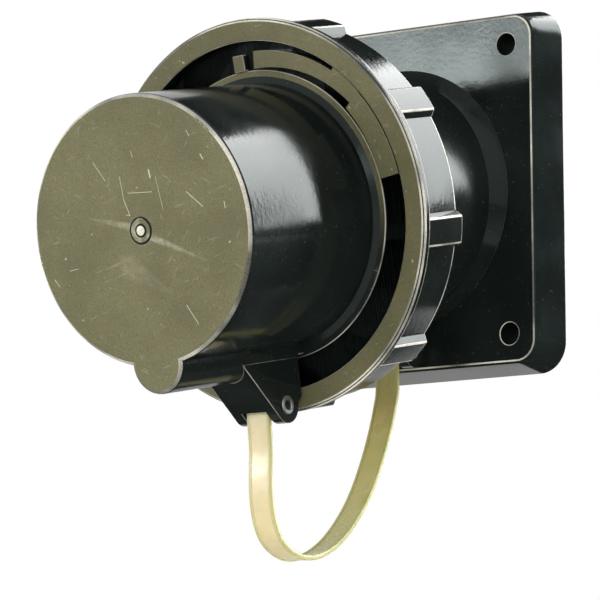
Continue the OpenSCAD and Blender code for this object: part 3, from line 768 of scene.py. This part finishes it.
class INLET_OT_shroud(bpy.types.Operator):
    """Finish the pin shroud and the contact carrier behind the cap"""

    bl_idname = "inlet.shroud"
    bl_label = "Build Pin Shroud"

    def execute(self, context):
        sizes, colours = context.scene.inlet_sizes, context.scene.inlet_colours
        plastic = gloss_plastic(colours)
        shroud = finish_mesh(eased_copy("pin_shroud", sizes.edge), "shroud", [plastic, plastic])
        settle(shroud, "inlet", "black_plastic", "pin_shroud")
        dress("contact_carrier", carrier_plastic(colours))
        return {"FINISHED"}


class INLET_OT_contacts(bpy.types.Operator):
    """Round and plate the contact pins"""

    bl_idname = "inlet.contacts"
    bl_label = "Build Contacts"

    def execute(self, context):
        sizes, colours = context.scene.inlet_sizes, context.scene.inlet_colours
        plating = metal("nickel_plating", colours.nickel, 0.22, True)
        for node in ("phase_pin_1", "phase_pin_2", "phase_pin_3", "neutral_pin", "earth_pin", "pilot_pin"):
            pin = finish_mesh(eased_copy(node, sizes.fine_edge), node + "_plated", [plating, plating])
            settle(pin, "inlet", "contact_brass", node)
        return {"FINISHED"}


class INLET_OT_fasteners(bpy.types.Operator):
    """Finish the screws, the snap ring and the strap's two pins"""

    bl_idname = "inlet.fasteners"
    bl_label = "Build Fasteners"

    def execute(self, context):
        sizes, colours = context.scene.inlet_sizes, context.scene.inlet_colours
        plate = metal("zinc_plate", colours.steel, 0.3, False)
        for node in ("shroud_screws", "terminal_screws"):
            dress(node, plate)
        dress("ring_retainer", metal("black_oxide", colours.oxide, 0.42, True))
        for node, body in (("strap_pin", "cap"), ("strap_anchor_pin", "inlet")):
            pin = finish_mesh(eased_copy(node, sizes.fine_edge), node + "_steel", [plate, plate])
            settle(pin, body, "steel", node)
        return {"FINISHED"}


class INLET_OT_seals(bpy.types.Operator):
    """Finish the gasket and the seals"""

    bl_idname = "inlet.seals"
    bl_label = "Build Seals"

    def execute(self, context):
        skin = rubber(context.scene.inlet_colours)
        for node in ("flange_gasket", "shroud_seal", "cap_seal"):
            dress(node, skin)
        return {"FINISHED"}


class INLET_OT_stage(bpy.types.Operator):
    """Build the pale floor, the white surroundings and the soft lights"""

    bl_idname = "inlet.stage"
    bl_label = "Build Stage"

    def execute(self, context):
        colours = context.scene.inlet_colours
        self.floor(colours)
        self.surroundings(context.scene)
        self.softbox("left_front_light", (-0.78, -1.04, 0.14), (0.3, 0.3), 22.0)
        self.softbox("right_back_light", (0.195, 0.375, 0.18), (0.4, 0.56), 12.0)
        self.softbox("front_light", (0.75, -1.35, 0.45), (0.9, 0.9), 3.4)
        self.softbox("top_light", (0.1, -0.5, 1.25), (0.8, 0.8), 0.9)
        self.dark_card("neck_card", (0.156, 0.383, 0.042), (0.3, 0.4), -33.7)
        self.dark_card("side_card", (0.49, 0.2, 0.05), (0.34, 0.4))
        self.dark_card("back_card", (-0.02, 0.6, 0.45), (0.85, 0.9))
        self.dark_card("low_card", (0.3, 0.3, -0.19), (0.7, 0.24))
        self.dark_card("floor_card", (0.1, 0.1, CAD_BOX[0].z - 0.15), (0.6, 0.6), flat=True)
        context.scene.view_settings.view_transform = "Standard"
        return {"FINISHED"}

    @staticmethod
    def floor(colours):
        finish = Finish("floor")
        finish.set(base_color=opaque(colours.floor), roughness=0.8)
        bm = bmesh.new()
        bmesh.ops.create_circle(bm, cap_ends=True, segments=64, radius=4.0)
        bmesh.ops.translate(bm, verts=bm.verts, vec=(0, 0, CAD_BOX[0].z - 0.16))
        mesh = bpy.data.meshes.new("floor")
        bm.to_mesh(mesh)
        bm.free()
        link("floor", mesh, [finish.material])

    @staticmethod
    def surroundings(scene):
        """White where it is seen or mirrored, and a soft horizon that fades up and down as light."""
        world = bpy.data.worlds.new("surroundings")
        world.use_nodes = True
        tree = world.node_tree
        back = tree.nodes["Background"]
        coords = tree.nodes.new("ShaderNodeTexCoord")
        parts = tree.nodes.new("ShaderNodeSeparateXYZ")
        ramp = tree.nodes.new("ShaderNodeValToRGB")
        span = tree.nodes.new("ShaderNodeMapRange")
        ray = tree.nodes.new("ShaderNodeLightPath")
        mix = tree.nodes.new("ShaderNodeMix")
        mix.data_type = "RGBA"
        span.inputs["From Min"].default_value = -1
        stops = ramp.color_ramp.elements
        stops[0].color = (0.16, 0.16, 0.16, 1)
        stops[1].color = (0.2, 0.2, 0.2, 1)
        middle = stops.new(0.52)
        middle.color = (0.75, 0.75, 0.75, 1)
        tree.links.new(coords.outputs["Generated"], parts.inputs["Vector"])
        tree.links.new(parts.outputs["Z"], span.inputs["Value"])
        tree.links.new(span.outputs["Result"], ramp.inputs["Fac"])
        seen = ray.outputs["Is Camera Ray"]
        for kind in ("Is Glossy Ray", "Is Transmission Ray"):
            either = tree.nodes.new("ShaderNodeMath")
            either.operation = "MAXIMUM"
            tree.links.new(seen, either.inputs[0])
            tree.links.new(ray.outputs[kind], either.inputs[1])
            seen = either.outputs[0]
        tree.links.new(seen, mix.inputs["Factor"])
        tree.links.new(ramp.outputs["Color"], mix.inputs[6])
        mix.inputs[7].default_value = (1, 1, 1, 1)
        tree.links.new(mix.outputs[2], back.inputs["Color"])
        scene.world = world

    @staticmethod
    def softbox(name, place, size, radiance):
        """A square of soft light of the given radiance that faces the object's middle."""
        data = bpy.data.lights.new(name, "AREA")
        data.shape = "RECTANGLE"
        data.size, data.size_y = size
        data.energy = radiance * math.pi * size[0] * size[1]
        light = bpy.data.objects.new(name, data)
        away = Vector(place) - (CAD_BOX[0] + CAD_BOX[1]) / 2
        light.location = place
        light.rotation_euler = away.to_track_quat("Z", "Y").to_euler()
        light.visible_camera = False
        bpy.context.scene.collection.objects.link(light)

    @staticmethod
    def dark_card(name, place, size, roll=0.0, flat=False):
        """A dull card, upright or flat, that only the glossy faces mirror, rolled by some degrees."""
        finish = Finish(name)
        finish.set(base_color=(0.01, 0.01, 0.01, 1), roughness=1.0, specular_ior_level=0.0)
        away = Vector((0, 0, 1)) if flat else Vector((place[0], place[1], 0))
        bm = bmesh.new()
        bmesh.ops.create_grid(bm, x_segments=1, y_segments=1, size=0.5)
        bmesh.ops.scale(bm, vec=(*size, 1), verts=bm.verts)
        turn = away.to_track_quat("Z", "Y").to_matrix().to_4x4() @ Matrix.Rotation(math.radians(roll), 4, "Z")
        bmesh.ops.transform(bm, matrix=Matrix.Translation(place) @ turn, verts=bm.verts)
        mesh = bpy.data.meshes.new(name)
        bm.to_mesh(mesh)
        bm.free()
        card = link(name, mesh, [finish.material])
        card.visible_camera = card.visible_diffuse = card.visible_shadow = False


class INLET_PT_panel(bpy.types.Panel):
    """Sizes, colours and steps of the inlet"""

    bl_idname = "INLET_PT_panel"
    bl_label = "Appliance Inlet"
    bl_space_type = "VIEW_3D"
    bl_region_type = "UI"
    bl_category = "Inlet"

    def draw(self, context):
        for group in (context.scene.inlet_view, context.scene.inlet_sizes, context.scene.inlet_colours):
            box = self.layout.box()
            for key in group.__annotations__:
                box.prop(group, key)
        for step in STEPS:
            self.layout.operator(step.bl_idname)


STEPS = (INLET_OT_camera, INLET_OT_strap, INLET_OT_housing, INLET_OT_ring, INLET_OT_cap, INLET_OT_shroud,
         INLET_OT_contacts, INLET_OT_fasteners, INLET_OT_seals, INLET_OT_stage)
GROUPS = {"inlet_view": InletView, "inlet_sizes": InletSizes, "inlet_colours": InletColours}


def register():
    for group in GROUPS.values():
        bpy.utils.register_class(group)
    for key, group in GROUPS.items():
        setattr(bpy.types.Scene, key, PointerProperty(type=group))
    for step in STEPS:
        bpy.utils.register_class(step)
    bpy.utils.register_class(INLET_PT_panel)


def unregister():
    bpy.utils.unregister_class(INLET_PT_panel)
    for step in reversed(STEPS):
        bpy.utils.unregister_class(step)
    for key in GROUPS:
        delattr(bpy.types.Scene, key)
    for group in reversed(list(GROUPS.values())):
        bpy.utils.unregister_class(group)


def main():
    register()
    bpy.ops.inlet.camera()
    bpy.ops.inlet.strap()
    bpy.ops.inlet.housing()
    bpy.ops.inlet.ring()
    bpy.ops.inlet.cap()
    bpy.ops.inlet.shroud()
    bpy.ops.inlet.contacts()
    bpy.ops.inlet.fasteners()
    bpy.ops.inlet.seals()
    bpy.ops.inlet.stage()


if __name__ == "__main__":
    main()
